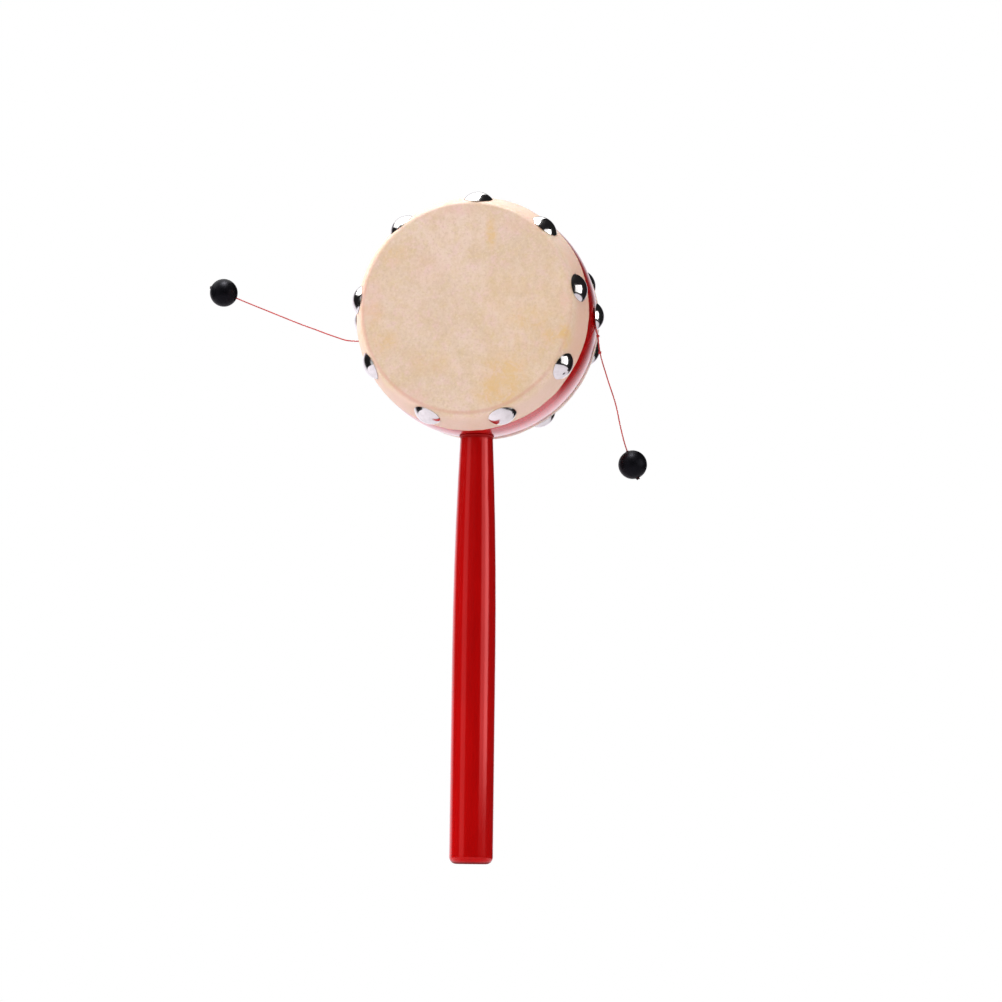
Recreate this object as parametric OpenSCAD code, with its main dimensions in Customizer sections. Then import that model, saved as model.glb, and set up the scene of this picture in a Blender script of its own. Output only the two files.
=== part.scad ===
// Pellet drum rattle: a turned, lacquered barrel shell with a hide head tacked over each rim,
// on a long round handle. A cord tied under a tack on each side carries a bead that strikes
// the heads when the handle is twirled. Origin at the middle of the handle's flat end, +Z up
// along the handle, the front head towards -Y.

/* [Drum shell] */
// Outside diameter of the shell at its belly
belly_d = 84; // [78:1:110]
// How far the belly stands out past the rims
belly_swell = 5; // [2:0.1:8]
// Depth of the wooden shell from rim to rim
shell_depth = 42.8; // [34:0.2:60]
// Thickness of the shell's wall at its rims
rim_wall = 6.5; // [6:0.1:12]
// Rounding of the rims under the hide
rim_round = 1.2; // [0.6:0.1:2.5]

/* [Hide heads] */
// Thickness of the hide
hide_t = 0.6; // [0.4:0.05:1]
// How far the hide's skirt reaches back from the face
skirt_w = 10.7; // [9.5:0.1:14]
// Gap between the hide and the wood under it
hide_gap = 0.05; // [0.02:0.01:0.1]

/* [Tacks] */
// Number of tacks round each head
tack_count = 9; // [6:1:12]
// Diameter of a head tack's dome
tack_d = 10; // [7:0.1:11]
// Height of a head tack's dome
tack_h = 2.5; // [1.5:0.1:3.5]
// Wall of the hollow domes
dome_wall = 0.5; // [0.3:0.05:0.8]
// Diameter of a tack's nail
nail_d = 1.5; // [1:0.1:2]
// Length of a nail below its dome's rim
nail_len = 6.5; // [4:0.1:7]
// Gap round a nail in its hole
nail_gap = 0.05; // [0.02:0.01:0.1]
// How far the near edge of a dome stays behind the face
tack_margin = 0.1; // [0:0.1:1]
// Angle of the first front tack above the right-hand side, in degrees
front_tack_angle = 48.5; // [0:0.5:90]
// Angle of the first rear tack above the right-hand side, in degrees
rear_tack_angle = 24.5; // [0:0.5:90]

/* [Handle] */
// Length of the handle from its flat end to the shell
handle_len = 149; // [110:1:180]
// Diameter of the grip
handle_d = 15.2; // [13:0.1:18]
// Diameter of the neck under the shell
neck_d = 11.5; // [9.5:0.1:12.5]
// Length over which the neck swells into the grip
taper_len = 76; // [40:1:90]
// Diameter of the small bead at the neck's shoulder
lip_d = 12.2; // [11:0.1:14]
// Height of the small bead at the neck's shoulder
lip_h = 0.9; // [0.6:0.1:1.5]
// Rounding of the flat end's edge
end_round = 2.5; // [1:0.1:4]
// Diameter of the spindle inside the drum
spindle_d = 8; // [6:0.1:9]
// Depth of the shoulder's flat seat in the belly
seat_depth = 0.6; // [0.5:0.1:1]
// Depth of the blind socket opposite the handle
socket_depth = 5; // [3:0.1:7]
// Gap round the spindle in its holes
spindle_gap = 0.05; // [0.02:0.01:0.1]
// Gap between the spindle's tip and the end of its socket
tip_gap = 0.3; // [0.2:0.1:1]

/* [Cords and beads] */
// Diameter of the cords
cord_d = 0.5; // [0.4:0.05:0.8]
// Diameter of a bead
bead_d = 10; // [8:0.1:12]
// Diameter of the hole through a bead
bead_bore_d = 1.4; // [1.2:0.1:2]
// Diameter of the tacks that hold the cords
cord_tack_d = 9.4; // [8:0.1:11]
// Height of the domes that hold the cords
cord_tack_h = 2.3; // [2:0.1:3.5]
// How far those domes stand off the belly, to let the cord out
cord_tack_lift = 0.6; // [0.6:0.05:1.5]

/* [Hidden] */

// Overrun of every cut past the face that it opens
cut = 1;
// Facets of a full circle
$fn = 96;

lacquer = "#a80a0c";
hide = "#dcc09c";
nickel = "#b9bbbf";
bead_black = "#17171a";
cord_red = "#b01c1c";

// Belly curve: an arc through both rims and the belly
belly_r = belly_d / 2;
half_depth = shell_depth / 2;
bore_d = belly_d - 2 * belly_swell - 2 * rim_wall;
arc_r = (half_depth * half_depth + belly_swell * belly_swell) / (2 * belly_swell);
arc_x = belly_r - arc_r;
round_y = half_depth - rim_round;
round_x = arc_x + sqrt(pow(arc_r - rim_round, 2) - pow(round_y, 2));
round_angle = asin(round_y / (arc_r - rim_round));

// Hide: its outer curve runs parallel to the shell's, one gap and one thickness out
hide_out = hide_gap + hide_t;
face_y = half_depth + hide_out;
skirt_y = face_y - skirt_w;

// Head tacks: seated on the hide's outer curve, with the near edge just behind the face.
// The dome's rim lies a little below the hide's crown, because the hide curves away under it.
tack_sink = 0.12;
tack_arc_r = arc_r + hide_out - tack_sink;
tack_angle = asin((face_y - tack_margin) / norm([tack_arc_r, tack_d / 2]))
    - atan(tack_d / 2 / tack_arc_r);
tack_pitch = 360 / tack_count;
point_len = nail_d;
// How far each tack sits from its even place round the ring, and along the skirt, as shares
// of the pitch and of the dome's diameter. They are set by hand, as a drum maker's are.
front_round_shares = [-0.03, 0.04, 0, 0, 0.01, 0.01, 0.12, 0, -0.07];
front_along_shares = [0, 0.01, 0, 0, 0.01, -0.01, 0, -0.03, 0];
rear_round_shares = [-0.04, 0.03, -0.06, 0.02, 0.05, -0.03, 0.06, -0.02, 0.03];
rear_along_shares = [0, -0.01, 0.01, -0.02, 0, 0.01, -0.01, 0, -0.02];

// Handle: everything is measured from its flat end, and the drum's centre is above it
drum_z = handle_len + belly_r;
shoulder_z = handle_len + seat_depth;
tip_z = drum_z + bore_d / 2 + socket_depth - tip_gap;
neck_top_z = shoulder_z - lip_h;
taper_z = neck_top_z - taper_len;
taper_drop = (handle_d - neck_d) / 2;
taper_r = (taper_len * taper_len + taper_drop * taper_drop) / (2 * taper_drop);
// The taper's arc is part of a very wide circle, which needs more facets than the rest
taper_facets = 3600;
seat_gap = 0.1;

// Hitch: one turn of the cord round the nail, under the dome, and two leads out below it
hitch_gap = 0.05;
hitch_r = nail_d / 2 + cord_d / 2 + hitch_gap;
hitch_x = belly_r + cord_d / 2 + hitch_gap;
hitch_step = 20;
lead_out = 0.1;
lead_half = cord_d / 2 + hitch_gap;

// Tie knot: hangs just below the dome, and the cord swings about its centre
tie_knot_d = 1.2;
tie_out = 0.8;
tie_drop = 2.3;
tie_x = belly_r + tie_out;
tie_z = -(cord_tack_d / 2 + tie_drop);
tie_gap = 0.12;

// Routes of the cords from the tie knot: outwards from the drum, and up
right_route = [
    [0, 0], [0.3, -2.8], [0.8, -5.9], [1.7, -9.4], [2.8, -12.9], [3.9, -16.4],
    [5.1, -19.9], [6.2, -23.3], [7.1, -26.8], [7.8, -30.3], [8.6, -33.8], [9.5, -37.3],
    [10.6, -40.7], [12.6, -45.6], [14.7, -50.7]
];
left_route = [
    [0, 0], [2, 0.1], [5.2, 0.5], [8.8, 1.7], [12.4, 3], [16.2, 4.5],
    [20, 5.9], [23.8, 7.4], [27.4, 8.9], [31, 10.4], [34.6, 11.9], [38.2, 13.4],
    [41.8, 14.9], [46.2, 16.8], [50.8, 18.8], [55.8, 21]
];
// Points of each route where the loop is knotted, the cord folds and the bead has its middle
right_loop_at = 2;
right_fold_at = 7;
right_bead_at = 13;
left_fold_at = 7;
left_bead_at = 14;

// Cord tube: sides, rings for each span of a route, and the clear gap at the fold. Knots:
// their sizes, and how far the bead's two knots have their middles past its ends.
cord_sides = 8;
cord_steps = 2;
fold_gap = 0.12;
loop_knot_d = 1.2;
loop_spread = 0.45;
stop_knot_d = 1.5;
end_knot_d = 1.7;
knot_out = 0.5;
sink_d = 2.8;
sink_depth = 0.5;

// Places the drum's own frame: its axis along local z, the front head up that axis
module at_drum() {
    translate([0, 0, drum_z])
        rotate([90, 0, 0])
            children();
}

// Places a side's frame at the drum's centre, x outwards: right as it is, left mirrored
module at_side(side) {
    translate([0, 0, drum_z])
        mirror([side < 0 ? 1 : 0, 0, 0])
            children();
}

// Section of the shell from the axis out, grown outwards by a wall
module barrel_section(grow) {
    touch_y = (arc_r + grow) * sin(round_angle);
    intersection() {
        translate([arc_x, 0])
            circle(r = arc_r + grow);
        translate([0, -touch_y])
            square([belly_r + grow + cut, 2 * touch_y]);
    }
    translate([0, -half_depth - grow])
        square([round_x, 2 * (half_depth + grow)]);
    for (end = [-1, 1])
        translate([round_x, end * round_y])
            circle(r = rim_round + grow);
}

// Places one tack on the skirt of the front (end 1) or rear (end -1) head
module at_ring(end, round_angle_deg, along) {
    seat_angle = tack_angle + along / tack_arc_r * 180 / PI;
    at_drum()
        rotate([0, 0, round_angle_deg])
            translate([
                arc_x + tack_arc_r * cos(seat_angle),
                0,
                end * tack_arc_r * sin(seat_angle)
            ])
                rotate([0, 90 - end * seat_angle, 0])
                    children();
}

module each_front_tack() {
    for (i = [0 : tack_count - 1]) {
        round_share = front_round_shares[i % len(front_round_shares)];
        along_share = front_along_shares[i % len(front_along_shares)];
        at_ring(1, front_tack_angle - (i - round_share) * tack_pitch, along_share * tack_d)
            children();
    }
}

module each_rear_tack() {
    for (i = [0 : tack_count - 1]) {
        round_share = rear_round_shares[i % len(rear_round_shares)];
        along_share = rear_along_shares[i % len(rear_along_shares)];
        at_ring(-1, rear_tack_angle - (i - round_share) * tack_pitch, along_share * tack_d)
            children();
    }
}

// Places a cord tack: its dome's rim stands off the belly, level with the drum's axis
module at_cord_tack(side) {
    at_side(side)
        translate([belly_r + cord_tack_lift, 0, 0])
            rotate([0, 90, 0])
                children();
}

// Domed tack, its hollow cap's rim at z = 0 and its nail pointing down
module tack(cap_d, cap_h, below) {
    cap_r = (cap_d * cap_d / 4 + cap_h * cap_h) / (2 * cap_h);
    rotate_extrude() {
        difference() {
            intersection() {
                translate([0, cap_h - cap_r])
                    circle(r = cap_r);
                square([cap_d, cap_h + cut]);
            }
            translate([0, cap_h - cap_r])
                circle(r = cap_r - dome_wall);
        }
        polygon([
            [0, -below],
            [nail_d / 2, point_len - below],
            [nail_d / 2, cap_h - dome_wall],
            [0, cap_h - dome_wall / 2]
        ]);
    }
}

module nail_hole(below) {
    translate([0, 0, -below])
        cylinder(d = nail_d + 2 * nail_gap, h = below + tack_h);
}

// Smooth curve through a route's points
function spline(p, q, r, s, t) =
    (2 * q + (r - p) * t + (2 * p - 5 * q + 4 * r - s) * t * t
     + (3 * q - p - 3 * r + s) * t * t * t) / 2;
function route_at(route, i, t) =
    spline(route[max(i - 1, 0)], route[i], route[i + 1],
           route[min(i + 2, len(route) - 1)], t);
function smooth(route, first, last) = [
    for (i = [first : last - 1], k = [0 : cord_steps - 1])
        route_at(route, i, k / cord_steps),
    route[last]
];
// Points in the side's frame: the route starts at the tie knot's centre
function placed(points) = [
    for (p = points) [tie_x + p[0], 0, tie_z + p[1]]
];
function unit(v) = v / norm(v);
// The same line, started a gap further on, without the points that the gap takes up
function start_after(line, gap) = [
    line[0] + unit(line[1] - line[0]) * gap,
    for (i = [1 : len(line) - 1])
        if (norm(line[i] - line[0]) > gap + cord_d / 2) line[i]
];
function tangent(line, i) =
    unit(line[min(i + 1, len(line) - 1)] - line[max(i - 1, 0)]);

// Round tube along a line of points, with a rounded nose at its end if asked. The line lies
// close to the plane square to the vector across.
module cord_tube(line, nose = false, across = [0, 1, 0]) {
    last = len(line) - 1;
    ahead = tangent(line, last) * cord_d / 2;
    centres = nose
        ? concat(line, [line[last] + ahead * sin(30), line[last] + ahead * sin(60)])
        : line;
    swell = [
        for (i = [0 : len(centres) - 1])
            i <= last ? 1 : cos(30 * (i - last))
    ];
    rings = len(centres);
    points = [
        for (i = [0 : rings - 1], k = [0 : cord_sides - 1])
            let (
                along = i <= last ? tangent(line, i) : unit(ahead),
                side = unit(cross(across, along)),
                angle = 360 * k / cord_sides
            )
            centres[i] + swell[i] * cord_d / 2
                * (side * cos(angle) + cross(along, side) * sin(angle))
    ];
    near_cap = [[for (k = [0 : cord_sides - 1]) k]];
    far_cap = [[for (k = [cord_sides - 1 : -1 : 0]) (rings - 1) * cord_sides + k]];
    walls = [
        for (i = [0 : rings - 2], k = [0 : cord_sides - 1])
            let (
                a = i * cord_sides + k,
                b = i * cord_sides + (k + 1) % cord_sides,
                c = a + cord_sides,
                d = b + cord_sides
            )
            each [[a, c, b], [b, c, d]]
    ];
    polyhedron(points = points, faces = concat(near_cap, walls, far_cap), convexity = 4);
}

// Inner and outer stretches of a cord, and what is knotted on it
module cord_inner(route, first, fold_at, clear) {
    line = placed(smooth(route, first, fold_at));
    cord_tube(clear > 0 ? start_after(line, clear) : line, nose = true);
}

module cord_outer(route, fold_at) {
    line = placed(smooth(route, fold_at, len(route) - 1));
    cord_tube(start_after(line, cord_d / 2 + fold_gap));
}

module on_route(route, at) {
    translate(placed([route[at]])[0])
        children();
}

// Places a bead's frame at its point of the route, z along its hole towards the cord's end
module at_bead(route, bead_at) {
    way = unit(route[bead_at + 1] - route[bead_at - 1]);
    on_route(route, bead_at)
        rotate([0, atan2(way[0], way[1]), 0])
            children();
}

module bead(route, bead_at) {
    at_bead(route, bead_at)
        difference() {
            sphere(d = bead_d);
            cylinder(d = bead_bore_d, h = bead_d + cut, center = true);
            for (end = [-1, 1])
                translate([0, 0, end * (bead_d / 2 - sink_depth)])
                    mirror([0, 0, end < 0 ? 1 : 0])
                        cylinder(d1 = bead_bore_d, d2 = sink_d, h = sink_depth);
        }
}

// Stop knot above the bead and end knot below it
module bead_knots(route, bead_at) {
    at_bead(route, bead_at) {
        translate([0, 0, -bead_d / 2 - knot_out])
            sphere(d = stop_knot_d, $fn = 32);
        translate([0, 0, bead_d / 2 + knot_out])
            sphere(d = end_knot_d, $fn = 32);
    }
}

// A bight of the cord round the nail, under the dome, with both ends led out to the tie knot
module cord_hitch() {
    foot = [belly_r + lead_out, 0, -cord_tack_d / 2 + dome_wall / 2];
    knot = [tie_x, 0, tie_z];
    lead = foot + unit(knot - foot) * (norm(knot - foot) - tie_knot_d / 2 - tie_gap);
    turn = [
        for (angle = [0 : hitch_step : 180])
            [hitch_x, hitch_r * cos(angle), hitch_r * sin(angle)]
    ];
    cord_tube(
        concat(
            [lead + [0, lead_half, 0], foot + [0, lead_half, 0]],
            turn,
            [foot - [0, lead_half, 0], lead - [0, lead_half, 0]]
        ),
        across = [1, 0, 0]
    );
}

module tie_knot() {
    translate([tie_x, 0, tie_z])
        sphere(d = tie_knot_d, $fn = 32);
}

// Sub-parts
module shell() {
    color(lacquer)
        difference() {
            at_drum()
                rotate_extrude()
                    difference() {
                        barrel_section(0);
                        translate([-cut, -half_depth - cut])
                            square([bore_d / 2 + cut, shell_depth + 2 * cut]);
                        translate([-belly_d, -belly_d])
                            square([belly_d, 2 * belly_d]);
                    }
            translate([0, 0, handle_len - cut])
                cylinder(d = spindle_d + 2 * spindle_gap, h = belly_r);
            translate([0, 0, handle_len - cut])
                cylinder(d = lip_d + 2 * seat_gap, h = seat_depth + cut);
            translate([0, 0, drum_z])
                cylinder(d = spindle_d + 2 * spindle_gap, h = bore_d / 2 + socket_depth);
            each_front_tack()
                nail_hole(nail_len);
            each_rear_tack()
                nail_hole(nail_len);
            for (side = [-1, 1])
                at_cord_tack(side)
                    nail_hole(nail_len + cord_tack_lift);
        }
}

module hide_head(end) {
    at_drum()
        mirror([0, 0, end < 0 ? 1 : 0])
            rotate_extrude()
                intersection() {
                    difference() {
                        barrel_section(hide_out);
                        barrel_section(hide_gap);
                    }
                    translate([0, skirt_y])
                        square([belly_d, skirt_w + cut]);
                }
}

module front_head() {
    color(hide)
        difference() {
            hide_head(1);
            each_front_tack()
                nail_hole(nail_len);
        }
}

module rear_head() {
    color(hide)
        difference() {
            hide_head(-1);
            each_rear_tack()
                nail_hole(nail_len);
        }
}

module front_tacks() {
    color(nickel)
        each_front_tack()
            tack(tack_d, tack_h, nail_len);
}

module rear_tacks() {
    color(nickel)
        each_rear_tack()
            tack(tack_d, tack_h, nail_len);
}

module handle() {
    color(lacquer)
        rotate_extrude() {
            square([handle_d / 2 - end_round, end_round + cut]);
            translate([handle_d / 2 - end_round, end_round])
                intersection() {
                    circle(r = end_round);
                    translate([0, -end_round])
                        square([end_round, end_round]);
                }
            translate([0, end_round])
                square([handle_d / 2, taper_z - end_round]);
            intersection() {
                translate([handle_d / 2 - taper_r, taper_z])
                    circle(r = taper_r, $fn = taper_facets);
                translate([0, taper_z])
                    square([handle_d, taper_len]);
            }
            translate([0, neck_top_z])
                square([(lip_d - lip_h) / 2, lip_h]);
            translate([(lip_d - lip_h) / 2, neck_top_z])
                intersection() {
                    translate([0, lip_h / 2])
                        circle(d = lip_h);
                    square([lip_h, lip_h]);
                }
            translate([0, shoulder_z])
                square([spindle_d / 2, tip_z - shoulder_z]);
        }
}

module right_cord_tack() {
    color(nickel)
        at_cord_tack(1)
            tack(cord_tack_d, cord_tack_h, nail_len + cord_tack_lift);
}

module right_cord_hitch() {
    color(cord_red)
        at_side(1)
            cord_hitch();
}

module right_tie_knot() {
    color(cord_red)
        at_side(1)
            tie_knot();
}

// The doubled cord between the tie knot and the loop's knot: two strands that draw together
module right_loop_strands() {
    line = start_after(placed(smooth(right_route, 0, right_loop_at)), tie_knot_d / 2 + tie_gap);
    steps = len(line) - 1;
    color(cord_red)
        at_side(1)
            for (end = [-1, 1])
                cord_tube([
                    for (i = [0 : steps])
                        line[i] + [0, end * (lead_half + (loop_spread - lead_half)
                            * sin(180 * i / steps)), 0]
                ]);
}

module right_loop_knot() {
    color(cord_red)
        at_side(1)
            on_route(right_route, right_loop_at)
                sphere(d = loop_knot_d, $fn = 32);
}

module right_cord_inner() {
    color(cord_red)
        at_side(1)
            cord_inner(right_route, right_loop_at, right_fold_at, 0);
}

module right_cord_outer() {
    color(cord_red)
        at_side(1)
            cord_outer(right_route, right_fold_at);
}

module right_bead_knots() {
    color(cord_red)
        at_side(1)
            bead_knots(right_route, right_bead_at);
}

module right_bead() {
    color(bead_black)
        at_side(1)
            bead(right_route, right_bead_at);
}

module left_cord_tack() {
    color(nickel)
        at_cord_tack(-1)
            tack(cord_tack_d, cord_tack_h, nail_len + cord_tack_lift);
}

module left_cord_hitch() {
    color(cord_red)
        at_side(-1)
            cord_hitch();
}

module left_tie_knot() {
    color(cord_red)
        at_side(-1)
            tie_knot();
}

module left_cord_inner() {
    color(cord_red)
        at_side(-1)
            cord_inner(left_route, 0, left_fold_at, tie_knot_d / 2 + tie_gap);
}

module left_cord_outer() {
    color(cord_red)
        at_side(-1)
            cord_outer(left_route, left_fold_at);
}

module left_bead_knots() {
    color(cord_red)
        at_side(-1)
            bead_knots(left_route, left_bead_at);
}

module left_bead() {
    color(bead_black)
        at_side(-1)
            bead(left_route, left_bead_at);
}

shell();
front_head();
rear_head();
front_tacks();
rear_tacks();
handle();
right_cord_tack();
right_cord_hitch();
right_tie_knot();
right_loop_strands();
right_loop_knot();
right_cord_inner();
right_cord_outer();
right_bead_knots();
right_bead();
left_cord_tack();
left_cord_hitch();
left_tie_knot();
left_cord_inner();
left_cord_outer();
left_bead_knots();
left_bead();
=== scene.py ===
import math

import bmesh
import bpy
from mathutils import Matrix, Vector, noise


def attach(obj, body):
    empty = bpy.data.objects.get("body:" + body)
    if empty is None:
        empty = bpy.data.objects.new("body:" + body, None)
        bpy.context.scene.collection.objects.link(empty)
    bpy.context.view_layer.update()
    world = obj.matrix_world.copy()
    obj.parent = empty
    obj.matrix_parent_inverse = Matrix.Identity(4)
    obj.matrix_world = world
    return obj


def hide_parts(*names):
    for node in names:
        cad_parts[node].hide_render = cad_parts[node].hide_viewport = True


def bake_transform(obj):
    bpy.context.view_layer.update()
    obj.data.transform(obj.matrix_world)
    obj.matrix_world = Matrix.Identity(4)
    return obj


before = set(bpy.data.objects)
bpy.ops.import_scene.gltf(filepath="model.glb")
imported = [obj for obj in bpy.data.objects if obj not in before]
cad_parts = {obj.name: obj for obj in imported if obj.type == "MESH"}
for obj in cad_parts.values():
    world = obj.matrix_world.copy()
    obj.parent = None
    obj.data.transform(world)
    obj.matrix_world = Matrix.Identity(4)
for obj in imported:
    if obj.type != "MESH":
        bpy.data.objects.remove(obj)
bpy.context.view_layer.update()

MM = 0.001

# The drum as packed, in millimetres: depths run from its middle plane towards a head
DRUM_Z = 191.0
BELLY_R = 42.0
ARC_R = 48.296
ARC_X = BELLY_R - ARC_R
HALF_DEPTH = 21.4
ROUND_X = 36.248
ROUND_Y = 20.2
ROUND_ANGLE = math.radians(25.4)
RIM_ROUND = 1.2
LIP_Z = 147.8

# The heads, and the angles of their tacks in degrees
HIDE_GAP = 0.05
HIDE_T = 0.6
HIDE_OUT = HIDE_GAP + HIDE_T
FACE_Y = HALF_DEPTH + HIDE_OUT
SKIRT_DEPTH = 10.7
SKIRT_Y = FACE_Y - SKIRT_DEPTH
FRONT_TACKS = [47.3, 10.1, -31.5, -71.5, -111.1, -151.1, 173.3, 128.5, 85.7]
REAR_TACKS = [22.9, -14.3, -57.9, -94.7, -133.5, -176.7, 146.9, 103.7, 65.7]

# The cords, their knots and the beads
CORD_D = 0.5
CLEARANCE = 0.05
TIE_OUT = 0.8
TIE_X = BELLY_R + TIE_OUT
TIE_Z = -7.0
TIE_KNOT_D = 1.2
TIE_START = 0.45
LOOP_KNOT_D = 1.2
LOOP_KNOT_TURN = 0.3
STOP_KNOT_D = 1.2
END_KNOT_D = 1.42
END_KNOT_TURN = 0.6
KNOT_OUT = 0.05
KNOT_IN = -0.2
BEAD_D = 10.0

# The loop of the right cord, and the bight of each cord round its tack's nail
LEAD_HALF = CORD_D / 2 + CLEARANCE
LOOP_PINCH = 0.8
LOOP_START = LEAD_HALF * LOOP_PINCH
LOOP_SPREAD = 0.45
NAIL_D = 1.5
HITCH_R = NAIL_D / 2 + CORD_D / 2 + CLEARANCE
HITCH_X = BELLY_R + CORD_D / 2 + CLEARANCE
HITCH_STEP = 20
CORD_TACK_D = 9.4
DOME_WALL = 0.5
LEAD_OUT = 0.1
LEAD_PINCH = 0.6

# Routes of the cords from the tie knots: outwards from the drum, and up
RIGHT_ROUTE = [
    (0, 0), (0.3, -2.8), (0.8, -5.9), (1.7, -9.4), (2.8, -12.9), (3.9, -16.4),
    (5.1, -19.9), (6.2, -23.3), (7.1, -26.8), (7.8, -30.3), (8.6, -33.8), (9.5, -37.3),
    (10.6, -40.7), (12.6, -45.6), (14.7, -50.7),
]
LEFT_ROUTE = [
    (0, 0), (2, 0.1), (5.2, 0.5), (8.8, 1.7), (12.4, 3), (16.2, 4.5),
    (20, 5.9), (23.8, 7.4), (27.4, 8.9), (31, 10.4), (34.6, 11.9), (38.2, 13.4),
    (41.8, 14.9), (46.2, 16.8), (50.8, 18.8), (55.8, 21),
]
RIGHT_LOOP_AT, RIGHT_FOLD_AT, RIGHT_BEAD_AT = 2, 7, 13
LEFT_FOLD_AT, LEFT_BEAD_AT = 7, 14


# Camera: angles in degrees, the aim in millimetres, the distance in metres, the lens in pixels

VIEW_AZIMUTH = 11.4
VIEW_ELEVATION = -10.61
VIEW_ROLL = 0.71
VIEW_AIM = (8.98, 0, 126.19)
VIEW_DISTANCE = 1.0
LENS_PIXELS = 2823.9
IMAGE_PIXELS = 1002
SENSOR_WIDTH = 36


def make_camera():
    """The photograph's view: from below the drum, a little to its right."""
    azimuth, elevation, roll = (math.radians(a) for a in (VIEW_AZIMUTH, VIEW_ELEVATION, VIEW_ROLL))
    back = Vector((
        math.sin(azimuth) * math.cos(elevation),
        -math.cos(azimuth) * math.cos(elevation),
        math.sin(elevation),
    ))
    place = Vector((0, 0, DRUM_Z)) * MM + back * VIEW_DISTANCE
    forward = (Vector(VIEW_AIM) * MM - place).normalized()
    right = forward.cross(Vector((0, 0, 1))).normalized()
    up = right.cross(forward)
    right_rolled = math.cos(roll) * right + math.sin(roll) * up
    up_rolled = -math.sin(roll) * right + math.cos(roll) * up
    turn = Matrix((right_rolled, up_rolled, -forward)).transposed()
    data = bpy.data.cameras.new("camera")
    data.sensor_width = SENSOR_WIDTH
    data.lens = LENS_PIXELS / IMAGE_PIXELS * data.sensor_width
    camera = bpy.data.objects.new("camera", data)
    camera.matrix_world = Matrix.Translation(place) @ turn.to_4x4()
    bpy.context.collection.objects.link(camera)
    bpy.context.scene.camera = camera


# Mesh helpers

WELD = 1e-7
TINY = 1e-9


def new_piece(name, vertices, faces, material):
    """A smooth mesh piece from points in metres."""
    mesh = bpy.data.meshes.new(name)
    mesh.from_pydata([tuple(v) for v in vertices], [], faces)
    mesh.validate()
    work = bmesh.new()
    work.from_mesh(mesh)
    bmesh.ops.remove_doubles(work, verts=work.verts, dist=WELD)
    bmesh.ops.recalc_face_normals(work, faces=work.faces)
    work.to_mesh(mesh)
    work.free()
    mesh.polygons.foreach_set("use_smooth", [True] * len(mesh.polygons))
    mesh.materials.append(material)
    piece = bpy.data.objects.new(name, mesh)
    bpy.context.collection.objects.link(piece)
    return piece


def tube(line, radii, sides, closed=False):
    """Vertices and faces of a round tube along a line, without twist between its rings."""
    count = len(line)
    tangents = []
    for i in range(count):
        if closed:
            ahead, behind = line[(i + 1) % count], line[i - 1]
        else:
            ahead, behind = line[min(i + 1, count - 1)], line[max(i - 1, 0)]
        tangents.append((ahead - behind).normalized())
    side = tangents[0].orthogonal().normalized()
    vertices, faces = [], []
    for i in range(count):
        side = (side - tangents[i] * side.dot(tangents[i])).normalized()
        other = tangents[i].cross(side)
        for k in range(sides):
            angle = 2 * math.pi * k / sides
            vertices.append(line[i] + radii[i] * (side * math.cos(angle) + other * math.sin(angle)))
    for i in range(count if closed else count - 1):
        for k in range(sides):
            a = i * sides + k
            b = i * sides + (k + 1) % sides
            c = (a + sides) % (count * sides)
            d = (b + sides) % (count * sides)
            faces.append((a, b, d, c))
    if not closed:
        faces.append(tuple(range(sides - 1, -1, -1)))
        faces.append(tuple((count - 1) * sides + k for k in range(sides)))
    return vertices, faces


def merge(parts):
    """One list of vertices and faces from several."""
    vertices, faces = [], []
    for part_vertices, part_faces in parts:
        start = len(vertices)
        vertices += part_vertices
        faces += [tuple(i + start for i in face) for face in part_faces]
    return vertices, faces


def in_metres(shape):
    """The same shape with its points in metres."""
    vertices, faces = shape
    return [v * MM for v in vertices], faces


# Threads and knots, in millimetres

CURVE_STEPS = 8
HITCH_STEPS = 6
PLIES = 3
PLY_SIDES = 7
PLY_R_SHARE = 0.245
PLY_UNEVEN = 0.08
PLY_UNEVEN_RATE = 1.3
TWIST_PITCH = 1.5
TWIST_WOBBLE = 0.35
TWIST_WOBBLE_RATE = 0.31
STEPS_PER_PITCH = 12
KNOT_SQUEEZE = 0.46
KNOT_THREAD_R = CORD_D * KNOT_SQUEEZE
KNOT_STEPS = 72
KNOT_SIDES = 10
KNOT_WIDE = 1.05
KNOT_LONG = 0.75
CORE_SHARE = 0.34
CORE_RINGS = 8
CORE_SIDES = 12


def spline(p, q, r, s, t):
    """The smooth curve from q to r, with p and s as the points on either side."""
    return (2 * q + (r - p) * t + (2 * p - 5 * q + 4 * r - s) * t * t
            + (3 * q - p - 3 * r + s) * t * t * t) / 2


def smooth(points, steps):
    """The smooth curve through the points."""
    last = len(points) - 1
    line = [
        spline(points[max(i - 1, 0)], points[i], points[i + 1], points[min(i + 2, last)], k / steps)
        for i in range(last) for k in range(steps)
    ]
    return line + [points[last]]


def even(line, step):
    """The same line with its points an even step apart."""
    lengths = [0.0]
    for a, b in zip(line, line[1:]):
        lengths.append(lengths[-1] + (b - a).length)
    count = max(2, round(lengths[-1] / step))
    out, i = [], 0
    for n in range(count + 1):
        want = lengths[-1] * n / count
        while i < len(line) - 2 and lengths[i + 1] < want:
            i += 1
        span = max(lengths[i + 1] - lengths[i], TINY)
        out.append(line[i].lerp(line[i + 1], min(1, (want - lengths[i]) / span)))
    return out


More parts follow.
